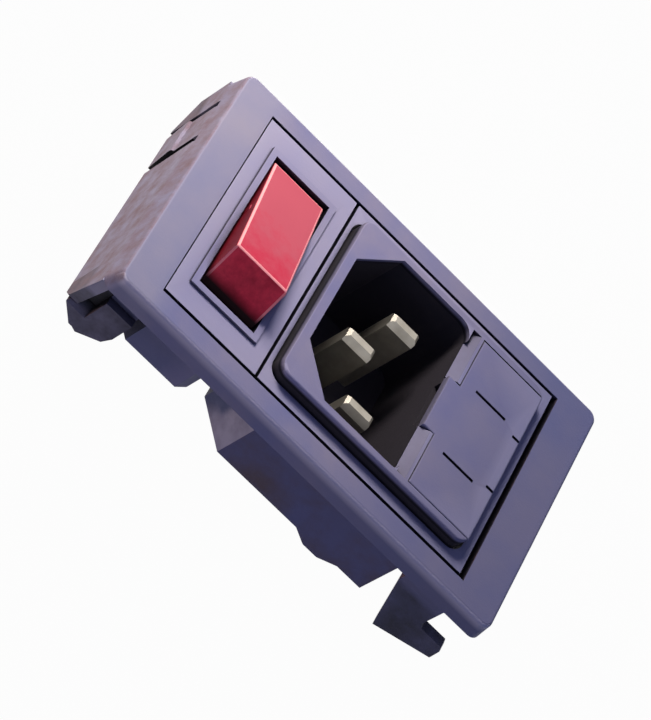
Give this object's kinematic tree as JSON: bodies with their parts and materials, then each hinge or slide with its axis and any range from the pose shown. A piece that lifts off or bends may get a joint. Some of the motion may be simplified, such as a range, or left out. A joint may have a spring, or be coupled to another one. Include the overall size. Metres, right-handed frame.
{
  "type": "power entry module",
  "caption": "Snap-in panel power entry module: bezel frame with a red rocker switch, an appliance inlet recess with blade pins, and a fuse drawer.",
  "frame": {"origin": "middle of the flange's back face, where the panel's front surface lies", "axes": "+Z out of the panel towards the user, +X along the bezel from the switch to the fuse drawer"},
  "size_m": [0.059, 0.036, 0.0255],
  "materials": {
    "bezel": "fine moulded satin",
    "module_plate": "fine moulded satin",
    "inlet_black": "moulded satin black",
    "rocker_red": "glossy red moulding",
    "plated_blade": "nickel plated brass",
    "brass_contact": "bright stamped strip",
    "spring_steel": "drawn wire",
    "plunger_white": "natural acetal",
    "fuse_glass": "clear glass tube",
    "fuse_cap": "nickel plated cap",
    "fuse_wire": "fine tinned wire"
  },
  "bodies": {
    "module": {"bezel_frame": "bezel", "switch_housing": "module_plate", "inlet_frame": "module_plate", "inlet_body": "inlet_black", "inlet_face": "module_plate", "pivot_terminal_a": "brass_contact", "pivot_terminal_b": "brass_contact", "make_terminal_a": "brass_contact", "make_terminal_b": "brass_contact", "line_pin": "plated_blade", "neutral_pin": "plated_blade", "earth_pin": "plated_blade", "fuse_clip_in": "brass_contact", "fuse_clip_out": "brass_contact", "fuse_link": "brass_contact"},
    "rocker_body": {"rocker": "rocker_red", "plunger_spring_a": "spring_steel", "plunger_spring_b": "spring_steel"},
    "plunger_body_a": {"plunger_a": "plunger_white"},
    "plunger_body_b": {"plunger_b": "plunger_white"},
    "lever_body_a": {"contact_lever_a": "brass_contact"},
    "lever_body_b": {"contact_lever_b": "brass_contact"},
    "drawer_body": {"fuse_drawer": "module_plate", "fuse_glass": "fuse_glass", "fuse_caps": "fuse_cap", "fuse_wire": "fuse_wire", "spare_fuse_glass": "fuse_glass", "spare_fuse_caps": "fuse_cap", "spare_fuse_wire": "fuse_wire"}
  },
  "joints": [
    {"name": "rocker_tilt", "type": "hinge", "parent": "module", "child": "rocker_body", "pos_m": [-0.01685, 0, -0.0036], "axis": [1, 0, 0], "range_deg": [0, 26]},
    {"name": "drawer_slide", "type": "slide", "parent": "module", "child": "drawer_body", "axis": [0, 0, 1], "range_m": [0, 0.0146]},
    {"name": "plunger_slide_a", "type": "slide", "parent": "rocker_body", "child": "plunger_body_a", "axis": [0, 0.225, 0.9744], "range_m": [0, 0.0008], "stiffness_N_per_m": 20, "deforming": ["plunger_spring_a"]},
    {"name": "lever_tilt_a", "type": "hinge", "parent": "module", "child": "lever_body_a", "pos_m": [-0.01905, 0, -0.0104], "axis": [1, 0, 0], "range_deg": [-14.05, 0]},
    {"name": "plunger_slide_b", "type": "slide", "parent": "rocker_body", "child": "plunger_body_b", "axis": [0, 0.225, 0.9744], "range_m": [0, 0.0008], "stiffness_N_per_m": 20, "deforming": ["plunger_spring_b"]},
    {"name": "lever_tilt_b", "type": "hinge", "parent": "module", "child": "lever_body_b", "pos_m": [-0.01465, 0, -0.0104], "axis": [1, 0, 0], "range_deg": [-14.05, 0]}
  ],
  "couplings": [
    {"joint": "lever_tilt_a", "follows": "rocker_tilt", "ratio": -0.53846},
    {"joint": "lever_tilt_b", "follows": "rocker_tilt", "ratio": -0.53846}
  ]
}
